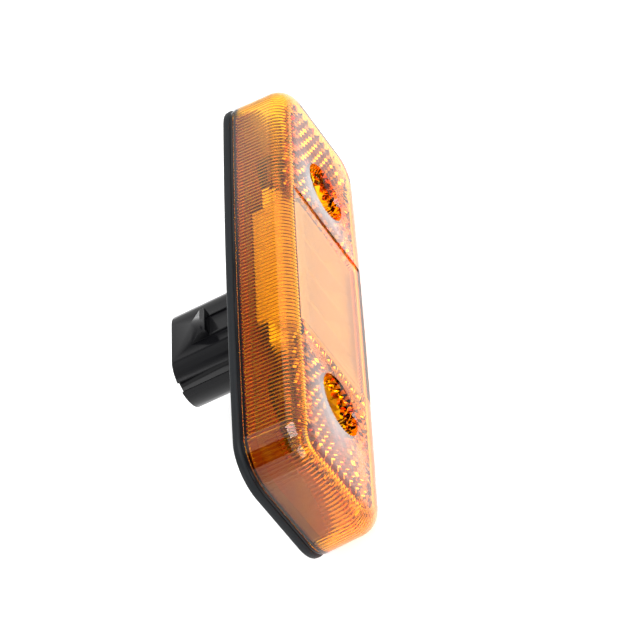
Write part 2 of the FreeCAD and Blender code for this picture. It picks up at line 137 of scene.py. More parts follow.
def row(mesh, points, level):
    """Vertices for a closed ring of points at a level in front of the mounting face."""
    return [mesh.verts.new((x * MM, -level * MM, z * MM)) for x, z in points]


def bridge(mesh, first, second):
    """Quads between two rows of equal length."""
    for number in range(len(first)):
        after = (number + 1) % len(first)
        mesh.faces.new((first[number], first[after], second[after], second[number]))


def circle(x, z, radius, count):
    return [(x + radius * math.cos(2 * math.pi * number / count),
             z + radius * math.sin(2 * math.pi * number / count)) for number in range(count)]


def obround(width, height, count):
    """A slot shape with round ends."""
    reach = (width - height) / 2
    points = []
    for number in range(count):
        angle = 2 * math.pi * (number + 0.5) / count
        points.append((math.copysign(reach, math.cos(angle)) + height / 2 * math.cos(angle),
                       height / 2 * math.sin(angle)))
    return points


def within(points, x, z):
    """Whether a place lies inside a ring: a line from it crosses the ring an odd number of times."""
    inside = False
    for (ax, az), (bx, bz) in zip(points, points[1:] + points[:1]):
        if (az > z) != (bz > z) and x < ax + (z - az) * (bx - ax) / (bz - az):
            inside = not inside
    return inside


def fill(mesh, outer, holes, links=()):
    """Triangles between a closed row and the rows of its holes. Links are more edges to follow."""
    rows = [outer] + holes
    rings = [[(vert.co.x / MM, vert.co.z / MM) for vert in one] for one in holes]
    verts = [vert for one in rows for vert in one]
    place = {vert: number for number, vert in enumerate(verts)}
    edges = [(place[one[number]], place[one[(number + 1) % len(one)]])
             for one in rows for number in range(len(one))]
    for first, second in links:
        for vert in (first, second):
            if vert not in place:
                place[vert] = len(verts)
                verts.append(vert)
        edges.append((place[first], place[second]))
    flat = [Vector((vert.co.x / MM, vert.co.z / MM)) for vert in verts]
    spots, _, faces, origins = delaunay_2d_cdt(flat, edges, [], KEEP_INSIDE, MERGE_DISTANCE)[:4]
    source = [origin[0] if origin else None for origin in origins]
    for face in faces:
        middle = sum((spots[corner] for corner in face), Vector((0, 0))) / len(face)
        if any(within(points, *middle) for points in rings):
            continue
        corners = [verts[source[corner]] for corner in face if source[corner] is not None]
        if len(set(corners)) == len(face):
            mesh.faces.new(corners)


def finish_piece(mesh, name, smooth_angle, crease=()):
    """Turn the mesh into an object, smooth but for edges over the angle and edges between crease points."""
    bmesh.ops.recalc_face_normals(mesh, faces=mesh.faces)
    for face in mesh.faces:
        face.smooth = True
    for edge in mesh.edges:
        if len(edge.link_faces) == 2:
            on_crease = all(vert in crease for vert in edge.verts)
            edge.smooth = edge.calc_face_angle() < math.radians(smooth_angle) and not on_crease
    data = bpy.data.meshes.new(name)
    open_edges = sum(len(edge.link_faces) != 2 for edge in mesh.edges)
    mesh.to_mesh(data)
    mesh.free()
    piece = bpy.data.objects.new(name, data)
    bpy.context.scene.collection.objects.link(piece)
    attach(piece, "root")
    print(name, len(data.polygons), "faces,", open_edges, "open edges")
    return piece


# %% [markdown]
# ## The lens
# The real lens is one injection moulding in clear amber acrylic. Outside it is smooth, with a slight draft
# so that it leaves the mould and a generous round to the front. Inside, fine ribs run up the walls and
# over the round, to spread the light and hide the works. It is built here as one closed skin, because
# glass only bends light rightly when a ray that goes in also comes out.

# %% Outside walls, front round and window recess
RIM, DEPTH = 2.5, 15.2
DRAFT = math.radians(2.3)
RIM_INSET, WALL, FRONT_ROUND = 0.1, 2.0, 4.5
FLANGE_INSET, FOOT_BEVEL = 0.36, 0.3
CEILING = 13.0
WINDOW_HALF, WINDOW_LEVEL = 20.4, 14.9
STEP_WIDTH = 0.12


def wall_inset(level):
    return RIM_INSET + (level - RIM) * math.tan(DRAFT)


lens = bmesh.new()
round_level = DEPTH - FRONT_ROUND
round_inset = wall_inset(round_level) + FRONT_ROUND / math.cos(DRAFT)
outside = walk_outline(OUTLINE_STEP)
for sign in (-1, 1):
    for end in (-1, 1):
        for x in (WINDOW_HALF, WINDOW_HALF - STEP_WIDTH):
            angle = math.atan2(sign * SIDE, end * x)
            outside.append((0, sign * SIDE_Z, SIDE, (math.cos(angle), math.sin(angle)), 0))
outside.sort(key=lambda spot: math.atan2(*reversed(ring([spot], 0)[0])))
recess_turn = math.degrees(math.asin((WINDOW_LEVEL - round_level) / FRONT_ROUND))
turns = [math.degrees(DRAFT), 12, 22, 32, 42, 51, 60, recess_turn, 76, 83, 90]
outer_rows = [row(lens, ring(outside, FLANGE_INSET), RIM),
              row(lens, ring(outside, RIM_INSET), RIM + FOOT_BEVEL)]
foot_rows = len(outer_rows)
for turn in turns:
    bend = math.radians(turn)
    outer_rows.append(row(lens, ring(outside, round_inset - FRONT_ROUND * math.cos(bend)),
                          round_level + FRONT_ROUND * math.sin(bend)))
for first, second in zip(outer_rows, outer_rows[1:]):
    bridge(lens, first, second)
print("outside rows", len(outer_rows), "of", len(outside))

# %% [markdown]
# ### Screw wells
# Two tubes go down through the lamp so that the screw heads sit deep in it. Each is a bore, a seat with
# the screw hole, and the tube's outer wall inside the lamp, which stands on the base.

# %% Bores, seats and tubes
WELL_X, BORE, TUBE, HOLE = 32.65, 6.6, 7.3, 2.75
WELL_SEAT, BASE_FACE = 6.5, 4.5
BORE_LIP, SEAT_ROUND = 0.1, 0.4
WELL_POINTS = 72
front_holes, ceiling_holes = [], []
for side in (-1, 1):
    profile = [(BORE + BORE_LIP, DEPTH), (BORE + BORE_LIP * QUARTER, DEPTH - BORE_LIP * QUARTER),
               (BORE, DEPTH - BORE_LIP), (BORE, WELL_SEAT + SEAT_ROUND),
               (BORE - SEAT_ROUND * QUARTER, WELL_SEAT + SEAT_ROUND * QUARTER), (BORE - SEAT_ROUND, WELL_SEAT),
               (HOLE, WELL_SEAT), (HOLE, BASE_FACE), (TUBE, BASE_FACE), (TUBE, CEILING)]
    rows = [row(lens, circle(side * WELL_X, 0, radius, WELL_POINTS), level) for radius, level in profile]
    for first, second in zip(rows, rows[1:]):
        bridge(lens, first, second)
    front_holes.append(rows[0])
    ceiling_holes.append(rows[-1])
print("wells at", WELL_X, "mm each side of the middle")

# %% [markdown]
# ### Front face and window
# Between the wells the front is a plain window, let in by 0.3 mm, so that its ends show as fine lines. Two
# pairs of points on the front's edge mark each end. The face is filled first, and then all points of the
# window, and of the round beside it, are pushed down to its level.

# %% Front face with its window
window_links = []
for x in (WINDOW_HALF, WINDOW_HALF - STEP_WIDTH):
    for end in (-1, 1):
        on_line = sorted(outer_rows[-1], key=lambda vert: abs(vert.co.x / MM - end * x))
        window_links.append(tuple(on_line[:2]))
fill(lens, outer_rows[-1], front_holes, window_links)
crease = set()
for turned in outer_rows:
    for vert in turned:
        if abs(vert.co.x) < (WINDOW_HALF - STEP_WIDTH / 2) * MM and vert.co.y <= -WINDOW_LEVEL * MM + 1e-7:
            vert.co.y = -WINDOW_LEVEL * MM
for vert in outer_rows[foot_rows + turns.index(recess_turn)]:
    if abs(vert.co.x) < WINDOW_HALF * MM:
        crease.add(vert)
print("window crease points", len(crease))

# %% [markdown]
# ### Flutes
# The ribs on the inside are narrow half rounds, about a millimetre apart. A bump map would be cheaper, but
# the ribs act as small lenses and only real ones bend what lies behind them. Each rib gets six steps. At the
# ends the ribs are low on the wall and grow on the round.

# %% Fluted inside walls
FLUTE_PITCH, FLUTE_DEPTH, FLUTE_STEPS = 1.05, 0.24, 6
END_WALL_DEPTH, END_ROUND_DEPTH, END_GROWTH = 0.06, 0.2, 40
WALL_ROWS, ROW_STEP = 4, 2
inner_round = CEILING - round_level
inside = walk_outline(FLUTE_PITCH, FLUTE_STEPS)
inner_rows = []
for number in range(WALL_ROWS):
    level = RIM + ROW_STEP * number
    inner_rows.append(row(lens, ring(inside, wall_inset(level) + WALL, FLUTE_DEPTH, END_WALL_DEPTH), level))
for turn in (0, 20, 40, 60, 78, 90):
    bend = math.radians(turn)
    level = round_level + inner_round * math.sin(bend)
    extra = inner_round * (1 - math.cos(bend))
    end_depth = END_WALL_DEPTH + (END_ROUND_DEPTH - END_WALL_DEPTH) * min(1, turn / END_GROWTH)
    points = ring(inside, wall_inset(level) + WALL + extra, FLUTE_DEPTH, end_depth)
    inner_rows.append(row(lens, points, level))
for first, second in zip(inner_rows, inner_rows[1:]):
    bridge(lens, second, first)
fill(lens, outer_rows[0], [inner_rows[0]])
print("flutes", len(inside) // FLUTE_STEPS)

# %% [markdown]
# ### Reflex prisms
# At both ends the inside of the front is a field of cube corners. Light that enters turns round on three
# faces set square to each other and goes back where it came from. In plan each prism is a hexagon of three
# rhombs: the middle stands highest, every second corner stands half as high, and the others are at the foot.
# Rhombs that lie wholly inside the border are kept, and the ceiling is triangulated round them. Beside the
# window the corners stay down at the ceiling, so that no steep edge sparkles along its line.

# %% Cube corner fields and the ceiling
PRISM_PITCH, PRISM_BORDER, TUBE_BORDER, WINDOW_FADE = 2.3, 0.15, 0.05, 1.0
PRISM_STEP = PRISM_PITCH / math.sqrt(6)
PRISM_RADIUS = PRISM_PITCH / math.sqrt(3)
PRISM_COLUMNS, PRISM_ROWS = 60, 40
ceiling_inset = wall_inset(CEILING) + WALL + inner_round


def in_prism_zone(x, z):
    return (inset_of(x, z) > ceiling_inset + FLUTE_DEPTH + PRISM_BORDER
            and abs(x) > WINDOW_HALF + PRISM_BORDER
            and math.hypot(abs(x) - WELL_X, z) > TUBE + TUBE_BORDER)


corner_verts, prism_links, rhomb_count = {}, set(), 0


def prism_corner(x, z, rise):
    key = (round(x, 3), round(z, 3))
    if key not in corner_verts:
        corner_verts[key] = (lens.verts.new((x * MM, -CEILING * MM, z * MM)), rise)
    return key


lean = math.radians(30)
for along in range(-PRISM_COLUMNS, PRISM_COLUMNS + 1):
    for across in range(-PRISM_ROWS, PRISM_ROWS + 1):
        x = PRISM_PITCH * along * math.cos(lean)
        z = PRISM_PITCH * (across + along * math.sin(lean))
        rim = circle(x, z, PRISM_RADIUS, 6)
        for number in (0, 2, 4):
            corners = [(x, z, 2 * PRISM_STEP), (*rim[number - 1], PRISM_STEP), (*rim[number], 0),
                       (*rim[number + 1], PRISM_STEP)]
            if not all(in_prism_zone(*corner[:2]) for corner in corners):
                continue
            rhomb_count += 1
            keys = [prism_corner(*corner) for corner in corners]
            prism_links.update(tuple(sorted(pair)) for pair in zip(keys, keys[1:] + keys[:1]))
fill(lens, inner_rows[-1], ceiling_holes,
     [(corner_verts[first][0], corner_verts[second][0]) for first, second in sorted(prism_links)])
for vert, rise in corner_verts.values():
    if abs(vert.co.x) > (WINDOW_HALF + WINDOW_FADE) * MM:
        vert.co.y = -(CEILING - rise) * MM
print("prism faces", rhomb_count)

# %% [markdown]
# ### The finished lens
# Corners between faces over 28 degrees apart stay sharp, which keeps the prisms crisp and the flutes round.
# The line beside the window is marked as a crease, because the bend there is slighter than that.

# %% Close the lens
lens_piece = finish_piece(lens, "lens_moulding", smooth_angle=28, crease=crease)
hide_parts("lens")

# %% [markdown]
# ## The rubber pad
# The pad is a soft moulded gasket, about as thick as a coin, between lamp and panel. Its edges are
# rounded, because rubber doesn't hold a sharp corner. It uses the lamp's own outline, with a hole for the
# plug socket and one for each screw.

# %% Rounded pad with its holes
PAD_THICK, PAD_ROUND = 1.9, 0.75
SOCKET_WIDE, SOCKET_HIGH, SOCKET_ROOM = 23.3, 12.0, 0.4
SOCKET_POINTS, HOLE_POINTS = 72, 40
pad = bmesh.new()
edge_walk = walk_outline(OUTLINE_STEP)
pad_rows = []
for turn in (-90, -68, -45, -22, 0, 22, 45, 68, 90):
    bend = math.radians(turn)
    middle = PAD_ROUND if turn < 0 else PAD_THICK - PAD_ROUND
    pad_rows.append(row(pad, ring(edge_walk, PAD_ROUND * (1 - math.cos(bend))),
                        middle + PAD_ROUND * math.sin(bend)))
for first, second in zip(pad_rows, pad_rows[1:]):
    bridge(pad, first, second)
socket_hole = obround(SOCKET_WIDE + 2 * SOCKET_ROOM, SOCKET_HIGH + 2 * SOCKET_ROOM, SOCKET_POINTS)
screw_holes = [circle(side * WELL_X, 0, HOLE, HOLE_POINTS) for side in (-1, 1)]
caps = [[row(pad, shape, level) for shape in [socket_hole] + screw_holes] for level in (0, PAD_THICK)]
for back, front in zip(*caps):
    bridge(pad, back, front)
for outer, holes in ((pad_rows[0], caps[0]), (pad_rows[-1], caps[1])):
    fill(pad, outer, holes)
pad_piece = finish_piece(pad, "pad_moulding", smooth_angle=40)
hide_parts("mounting_pad")

# %% [markdown]
# ## The white light frame
# A pale frame stands round the light sources and sends their light forwards. Its long sides run down past
# the board, so that from the side only clean white shows through the amber. At each end a foot sits on the
# board and is held by a stake of the base. It could be a box with a bevel, but the flared cells are what is
# seen through the window, so it is one skin: outer wall, front with four mouths, four tapering cells and the
# room for the board behind. The feet are skins of their own that run a little into its ends.

# %% Frame with four flared cells
FRAME_HALF_X, FRAME_HALF_Z, FRAME_CORNER = 19.5, 11.9, 2.6
SKIRT_BACK, END_BACK, BOARD_FRONT, FRAME_FRONT = 4.9, 8.65, 8.75, 12.6
FRAME_WALL, FRAME_ROUND = 0.7, 0.4
CELLS, CELL_SPACING = 4, 9.4
MOUTH_X, MOUTH_Z, MOUTH_CORNER = 4.2, 9.6, 0.8
FLOOR_X, FLOOR_Z, FLOOR_CORNER = 2.3, 2.0, 0.4
FOOT_X, FOOT_HALF_X, FOOT_HALF_Z, FOOT_CORNER, FOOT_FRONT = 21.4, 2.0, 9.0, 0.4, 9.55
STAKE_X, STAKE_HOLE, STAKE_CORNER = 21.5, 0.95, 0.1
FRAME_STEPS, CELL_STEPS, STAKE_STEPS = 8, 4, 2


def rounded_box(half_x, half_z, corner, steps, x=0):
    """A rectangle with round corners, walked in the same sense as a circle."""
    points = []
    for number, (sign_x, sign_z) in enumerate(((1, 1), (-1, 1), (-1, -1), (1, -1))):
        for step in range(steps + 1):
            angle = math.pi / 2 * (number + step / steps)
            points.append((x + sign_x * (half_x - corner) + corner * math.cos(angle),
                           sign_z * (half_z - corner) + corner * math.sin(angle)))
    return points


light = bmesh.new()


def frame_row(inset, level):
    """The frame's outer shape moved inwards, as a row at a level."""
    size = (FRAME_HALF_X - inset, FRAME_HALF_Z - inset, FRAME_CORNER - inset)
    return row(light, rounded_box(*size, FRAME_STEPS), level)


shell = [(0, END_BACK), (0, FRAME_FRONT - FRAME_ROUND),
         (FRAME_ROUND * QUARTER, FRAME_FRONT - FRAME_ROUND * QUARTER), (FRAME_ROUND, FRAME_FRONT)]
shell_rows = [frame_row(inset, level) for inset, level in shell]
for first, second in zip(shell_rows, shell_rows[1:]):
    bridge(light, first, second)
room = [frame_row(FRAME_WALL, level) for level in (END_BACK, BOARD_FRONT)]
for vert in shell_rows[0] + room[0]:
    if abs(vert.co.x) < (FRAME_HALF_X - FRAME_CORNER) * MM + 1e-6:
        vert.co.y = -SKIRT_BACK * MM
bridge(light, shell_rows[0], room[0])
bridge(light, *room)
mouths, floors = [], []
for cell in range(CELLS):
    x = (cell - (CELLS - 1) / 2) * CELL_SPACING
    mouths.append(row(light, rounded_box(MOUTH_X, MOUTH_Z, MOUTH_CORNER, CELL_STEPS, x), FRAME_FRONT))
    floors.append(row(light, rounded_box(FLOOR_X, FLOOR_Z, FLOOR_CORNER, CELL_STEPS, x), BOARD_FRONT))
    bridge(light, mouths[-1], floors[-1])
fill(light, shell_rows[-1], mouths)
fill(light, room[1], floors)
for end in (-1, 1):
    foot_shape = rounded_box(FOOT_HALF_X, FOOT_HALF_Z, FOOT_CORNER, CELL_STEPS, end * FOOT_X)
    hole_shape = rounded_box(STAKE_HOLE, STAKE_HOLE, STAKE_CORNER, STAKE_STEPS, end * STAKE_X)
    foot, hole = [[row(light, shape, level) for level in (END_BACK, FOOT_FRONT)]
                  for shape in (foot_shape, hole_shape)]
    bridge(light, *foot)
    bridge(light, *hole)
    for outer, inner in zip(foot, hole):
        fill(light, outer, [inner])
light_piece = finish_piece(light, "light_frame", smooth_angle=35)
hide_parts("light_box")

# %% [markdown]
# ## The pieces that come from CAD
# Base, board, seal, contacts and small parts already have the right shape. Their meshes stay as they are: on
# the mouldings and contacts the faces are only set to shade smooth, and modifiers weld the corners and put a
# small round on the edges, because every moulded edge has one that catches the light.

# %% Soft edges on the CAD pieces
for name, width in (("base_housing", 0.28), ("pin_seal", 0.1), ("supply_pin", 0.06), ("ground_pin", 0.06)):
    piece = nodes[name]
    piece.data.polygons.foreach_set("use_smooth", [True] * len(piece.data.polygons))
    weld = piece.modifiers.new("weld", "WELD")
    weld.merge_threshold = 1e-6
    soften = piece.modifiers.new("soften", "BEVEL")
    soften.width = width * MM
    soften.segments = 3
    soften.limit_method = "ANGLE"
    soften.angle_limit = math.radians(40)
    soften.harden_normals = True
    soften.use_clamp_overlap = True
print("softened the moulded CAD pieces")

# %% [markdown]
# ## Shared finishes
# Two effects come back on most pieces. One is the grain that a mould leaves: a fine unevenness that breaks
# up reflections. The other is a thin uneven film of dust and handling marks, which lightens the colour in
# patches. Both are node groups, so that each material can place them with its own values.

# %% Mould grain and handling marks


def new_group(name, inputs, outputs):
    group = bpy.data.node_groups.new(name, "ShaderNodeTree")
    for socket, kind, value in inputs:
        group.interface.new_socket(socket, in_out="INPUT", socket_type=kind).default_value = value
    for socket, kind in outputs:
        group.interface.new_socket(socket, in_out="OUTPUT", socket_type=kind)
    return group, group.nodes.new("NodeGroupInput"), group.nodes.new("NodeGroupOutput")


def math_node(tree, operation, first, second=0.0):
    node = tree.nodes.new("ShaderNodeMath")
    node.operation = operation
    for number, value in enumerate((first, second)):
        if isinstance(value, (int, float)):
            node.inputs[number].default_value = value
        else:
            tree.links.new(value, node.inputs[number])
    return node.outputs[0]


def noise(tree, scale, detail=4.0):
    """Noise over the piece, in its own metres."""
    place = tree.nodes.new("ShaderNodeTexCoord")
    node = tree.nodes.new("ShaderNodeTexNoise")
    node.inputs["Detail"].default_value = detail
    tree.links.new(place.outputs["Object"], node.inputs["Vector"])
    if isinstance(scale, (int, float)):
        node.inputs["Scale"].default_value = scale
    else:
        tree.links.new(scale, node.inputs["Scale"])
    return node.outputs["Fac"]


grain, grain_in, grain_out = new_group(
    "mould_grain",
    [("Scale", "NodeSocketFloat", 800.0), ("Roughness", "NodeSocketFloat", 0.3),
     ("Spread", "NodeSocketFloat", 0.2)],
    [("Height", "NodeSocketFloat"), ("Roughness", "NodeSocketFloat")])
fine = noise(grain, grain_in.outputs["Scale"])
broad = noise(grain, scale=60.0, detail=3.0)
height = math_node(grain, "ADD", fine, math_node(grain, "MULTIPLY", broad, 0.5))
grain.links.new(height, grain_out.inputs["Height"])
swing = math_node(grain, "MULTIPLY", math_node(grain, "SUBTRACT", broad, 0.5), grain_in.outputs["Spread"])
grain.links.new(math_node(grain, "ADD", grain_in.outputs["Roughness"], swing), grain_out.inputs["Roughness"])

# Besides real marks, the same patches also spread the painted amber light on the base's inside plate.
marks, marks_in, marks_out = new_group(
    "handling_marks",
    [("Colour", "NodeSocketColor", (0.5, 0.5, 0.5, 1)), ("Film", "NodeSocketColor", (0.6, 0.6, 0.6, 1)),
     ("Amount", "NodeSocketFloat", 0.1)],
    [("Colour", "NodeSocketColor")])
patches = math_node(marks, "MULTIPLY", noise(marks, scale=140.0, detail=6.0), marks_in.outputs["Amount"])
blend = marks.nodes.new("ShaderNodeMix")
blend.data_type = "RGBA"
marks.links.new(patches, blend.inputs["Factor"])
marks.links.new(marks_in.outputs["Colour"], blend.inputs["A"])
marks.links.new(marks_in.outputs["Film"], blend.inputs["B"])
marks.links.new(blend.outputs["Result"], marks_out.inputs["Colour"])
print("groups", [group.name for group in bpy.data.node_groups])

# %% [markdown]
# ## Plain finishes
# Most pieces differ only in colour, gloss and grain, so one recipe makes them: handling marks on the
# colour, grain on roughness and bump. What is special to a piece is added in its own cell below.

# %% Recipe for a moulded or plated finish


def use_group(tree, group, **values):
    node = tree.nodes.new("ShaderNodeGroup")
    node.node_tree = group
    for socket, value in values.items():
        node.inputs[socket].default_value = value
    return node


def finish(name, colour, rough, film=(0.5, 0.5, 0.5), amount=0.08, spread=0.2, scale=900.0, bump=0.08,
           metallic=0.0):
    """A material with both groups, returned with its node tree, its shader and its colour node."""
    material = bpy.data.materials.new(name)
    material.use_nodes = True
    tree = material.node_tree
    shader = tree.nodes["Principled BSDF"]
    shader.inputs["Metallic"].default_value = metallic
    tint = use_group(tree, marks, Colour=(*colour, 1), Film=(*film, 1), Amount=amount)
    tree.links.new(tint.outputs["Colour"], shader.inputs["Base Color"])
    feel = use_group(tree, grain, Scale=scale, Roughness=rough, Spread=spread)
    tree.links.new(feel.outputs["Roughness"], shader.inputs["Roughness"])
    press = tree.nodes.new("ShaderNodeBump")
    press.inputs["Strength"].default_value = bump
    press.inputs["Distance"].default_value = 0.0001
    tree.links.new(feel.outputs["Height"], press.inputs["Height"])
    tree.links.new(press.outputs["Normal"], shader.inputs["Normal"])
    return material, tree, shader, tint


def dress(piece, material):
    piece.data.materials.clear()
    piece.data.materials.append(material)


pad_rubber, _, pad_shader, _ = finish("pad_rubber", (0.008, 0.0095, 0.011), 0.48, film=(0.03, 0.034, 0.038),
                                      amount=0.2, spread=0.25, scale=1400.0, bump=0.25)
pad_shader.inputs["Specular IOR Level"].default_value = 0.12
dress(pad_piece, pad_rubber)
white_satin = finish("white_satin", (0.44, 0.41, 0.37), 0.42, film=(0.37, 0.34, 0.3), amount=0.15,
                     spread=0.15, bump=0.06)[0]
dress(light_piece, white_satin)
seal_compound = finish("seal_compound", (0.02, 0.02, 0.022), 0.25, film=(0.1, 0.1, 0.1), amount=0.2,
                       scale=300.0, bump=0.2)[0]
dress(nodes["pin_seal"], seal_compound)
tin_plate = finish("tin_plate", (0.72, 0.71, 0.68), 0.3, film=(0.5, 0.47, 0.42), amount=0.25, scale=2200.0,
                   bump=0.1, metallic=1.0)[0]
for name in ("supply_pin", "ground_pin"):
    dress(nodes[name], tin_plate)
print("plain finishes placed")

# %% [markdown]
# ## Gloss black base
# The base is one black moulding, polished outside. Inside the lamp its plate is painted a patchy warm brown:
# painted amber light, standing for the light that bounces round inside the amber lens and never leaves. A
# second moulding would show a seam, so the same material changes by depth: a mask on the place in the lamp's
# own metres is 1 in front of the rim.

# %% Base material with painted amber light inside
INSIDE_FROM = RIM + 0.02
black_gloss, tree, black_shader, tint = finish("black_gloss", (0.004, 0.004, 0.005), 0.16,
                                               film=(0.02, 0.02, 0.02), amount=0.1, spread=0.1, scale=700.0,
                                               bump=0.04)
black_shader.inputs["Specular IOR Level"].default_value = 0.14
place = tree.nodes.new("ShaderNodeTexCoord")
split = tree.nodes.new("ShaderNodeSeparateXYZ")
tree.links.new(place.outputs["Object"], split.inputs[0])
inside_mask = math_node(tree, "LESS_THAN", split.outputs["Y"], -INSIDE_FROM * MM)
# Painted amber light: a patchy brown base colour inside the lamp stands for light trapped in the amber lens.
painted_amber_light = use_group(tree, marks, Colour=(0.09, 0.018, 0.01, 1), Film=(0.15, 0.04, 0.02, 1), Amount=0.5)
painted_light_mix = tree.nodes.new("ShaderNodeMix")
painted_light_mix.data_type = "RGBA"
tree.links.new(inside_mask, painted_light_mix.inputs["Factor"])
tree.links.new(tint.outputs["Colour"], painted_light_mix.inputs["A"])
tree.links.new(painted_amber_light.outputs["Colour"], painted_light_mix.inputs["B"])
tree.links.new(painted_light_mix.outputs["Result"], black_shader.inputs["Base Color"])
dress(nodes["base_housing"], black_gloss)
print("base placed")

# %% [markdown]
# ## Board and small parts
# Surface mounted parts have bright soldered ends and a dark or tan body, and the light sources a white
# case with a yellow filling in its cup. Painting by place in the piece's own box does that without any
# extra mesh: a mask reads the generated coordinates, which run from 0 to 1 across each piece.

# %% Soldered ends and filled cups


def box_mask(tree, half_x, half_z):
    """1 in the middle of the piece's box, 0 outside the two half widths."""
    place = tree.nodes.new("ShaderNodeTexCoord")
    split = tree.nodes.new("ShaderNodeSeparateXYZ")
    tree.links.new(place.outputs["Generated"], split.inputs[0])
    masks = []
    for axis, half in (("X", half_x), ("Z", half_z)):
        off = math_node(tree, "ABSOLUTE", math_node(tree, "SUBTRACT", split.outputs[axis], 0.5))
        masks.append(math_node(tree, "LESS_THAN", off, half))
    return math_node(tree, "MULTIPLY", *masks)


def two_tone(name, body, ends, half_x, half_z, rough, end_metallic):
    """A finish with a body colour inside the two half widths and another at the ends."""
    material, tree, shader, tint = finish(name, body, rough, spread=0.15)
    mask = box_mask(tree, half_x, half_z)
    paint = tree.nodes.new("ShaderNodeMix")
    paint.data_type = "RGBA"
    tree.links.new(mask, paint.inputs["Factor"])
    paint.inputs["A"].default_value = (*ends, 1)
    tree.links.new(tint.outputs["Colour"], paint.inputs["B"])
    tree.links.new(paint.outputs["Result"], shader.inputs["Base Color"])
    if end_metallic:
        tree.links.new(math_node(tree, "SUBTRACT", 1.0, mask), shader.inputs["Metallic"])
    return material


SOLDER, LIGHT_CASE = (0.7, 0.7, 0.68), (0.88, 0.87, 0.84)
black_chip = two_tone("black_chip", (0.025, 0.025, 0.027), SOLDER, half_x=0.36, half_z=1.0, rough=0.45,
                      end_metallic=True)
tan_chip = two_tone("tan_chip", (0.42, 0.3, 0.19), SOLDER, half_x=0.34, half_z=1.0, rough=0.4,
                    end_metallic=True)
light_chip = two_tone("light_chip", (0.95, 0.72, 0.12), LIGHT_CASE, half_x=0.31, half_z=0.39, rough=0.3,
                      end_metallic=False)
for name in ("resistor_left", "resistor_right", "protection_diode", "surge_absorber"):
    dress(nodes[name], black_chip)
dress(nodes["filter_capacitor"], tan_chip)
for name in ("led_left_outer", "led_left_inner", "led_right_inner", "led_right_outer"):
    dress(nodes[name], light_chip)
board_mask = finish("board_mask", (0.78, 0.8, 0.76), 0.35, film=(0.5, 0.56, 0.5), amount=0.2, spread=0.15,
                    scale=1800.0, bump=0.12)[0]
dress(nodes["circuit_board"], board_mask)
print("board and chips painted")

# %% [markdown]
# ## Amber acrylic
# The dye is in the plastic itself, so thin walls look yellow and thick or doubled ones go deep orange. A
# colour on the surface alone would be even everywhere. Here the surface is nearly clear and a Volume
# Absorption inside the skin does the dyeing by distance. Light from the lamps would be stopped by glass,
# so for shadow rays the lens becomes a plain amber filter.

# %% Amber lens material
amber = bpy.data.materials.new("amber_acrylic")
amber.use_nodes = True
tree = amber.node_tree
shader = tree.nodes["Principled BSDF"]
shader.inputs["Transmission Weight"].default_value = 1.0
shader.inputs["IOR"].default_value = 1.49
tint = use_group(tree, marks, Colour=(1.0, 0.955, 0.82, 1), Film=(1.0, 0.93, 0.75, 1), Amount=0.2)
tree.links.new(tint.outputs["Colour"], shader.inputs["Base Color"])
feel = use_group(tree, grain, Scale=90.0, Roughness=0.03, Spread=0.04)
tree.links.new(feel.outputs["Roughness"], shader.inputs["Roughness"])
press = tree.nodes.new("ShaderNodeBump")
press.inputs["Strength"].default_value = 0.04
press.inputs["Distance"].default_value = 0.0002
tree.links.new(feel.outputs["Height"], press.inputs["Height"])
tree.links.new(press.outputs["Normal"], shader.inputs["Normal"])
filter_shader = tree.nodes.new("ShaderNodeBsdfTransparent")
filter_shader.inputs["Color"].default_value = (1.0, 0.68, 0.16, 1)
path = tree.nodes.new("ShaderNodeLightPath")
choose = tree.nodes.new("ShaderNodeMixShader")
tree.links.new(path.outputs["Is Shadow Ray"], choose.inputs[0])
tree.links.new(shader.outputs[0], choose.inputs[1])
tree.links.new(filter_shader.outputs[0], choose.inputs[2])
out = tree.nodes["Material Output"]
tree.links.new(choose.outputs[0], out.inputs["Surface"])
dye = tree.nodes.new("ShaderNodeVolumeAbsorption")
dye.inputs["Color"].default_value = (0.995, 0.885, 0.0, 1)
dye.inputs["Density"].default_value = 1250.0
tree.links.new(dye.outputs[0], out.inputs["Volume"])
dress(lens_piece, amber)
print("amber placed")

# %% [markdown]
# ## Studio
# The lamp was photographed on pure white. The floor is pale, and what the camera, a reflection or a
# refraction sees of it and of the world is lifted to white, so the lamps need not be bright.

# %% Floor and world
FLOOR_REACH, FLOOR_GAP, FLOOR_GLOW = 4.0, 0.0005, 0.62
WORLD_LIGHT, WORLD_LIFT = 0.5, 0.5
low = cad_box[0][2] - FLOOR_GAP


def flat_sheet(name, x, y, z):
    """A level sheet of the studio, given by its two ranges and its height."""
    mesh = bpy.data.meshes.new(name)
    mesh.from_pydata([(x[0], y[0], z), (x[1], y[0], z), (x[1], y[1], z), (x[0], y[1], z)], [], [(0, 1, 2, 3)])
    sheet = bpy.data.objects.new(name, mesh)
    bpy.context.scene.collection.objects.link(sheet)
    return sheet


floor = flat_sheet("floor", (-FLOOR_REACH, FLOOR_REACH), (-FLOOR_REACH, FLOOR_REACH), low)


def seen_directly(tree):
    """1 for rays that show the background: straight, reflected or through glass."""
    path = tree.nodes.new("ShaderNodeLightPath")
    shown = math_node(tree, "MAXIMUM", path.outputs["Is Camera Ray"], path.outputs["Is Glossy Ray"])
    return math_node(tree, "MAXIMUM", shown, path.outputs["Is Transmission Ray"])


pale = bpy.data.materials.new("pale_floor")
pale.use_nodes = True
tree = pale.node_tree
shader = tree.nodes["Principled BSDF"]
shader.inputs["Base Color"].default_value = (0.8, 0.8, 0.8, 1)
shader.inputs["Roughness"].default_value = 0.9
shader.inputs["Emission Color"].default_value = (1, 1, 1, 1)
glow = math_node(tree, "MULTIPLY", seen_directly(tree), FLOOR_GLOW)
tree.links.new(glow, shader.inputs["Emission Strength"])
dress(floor, pale)

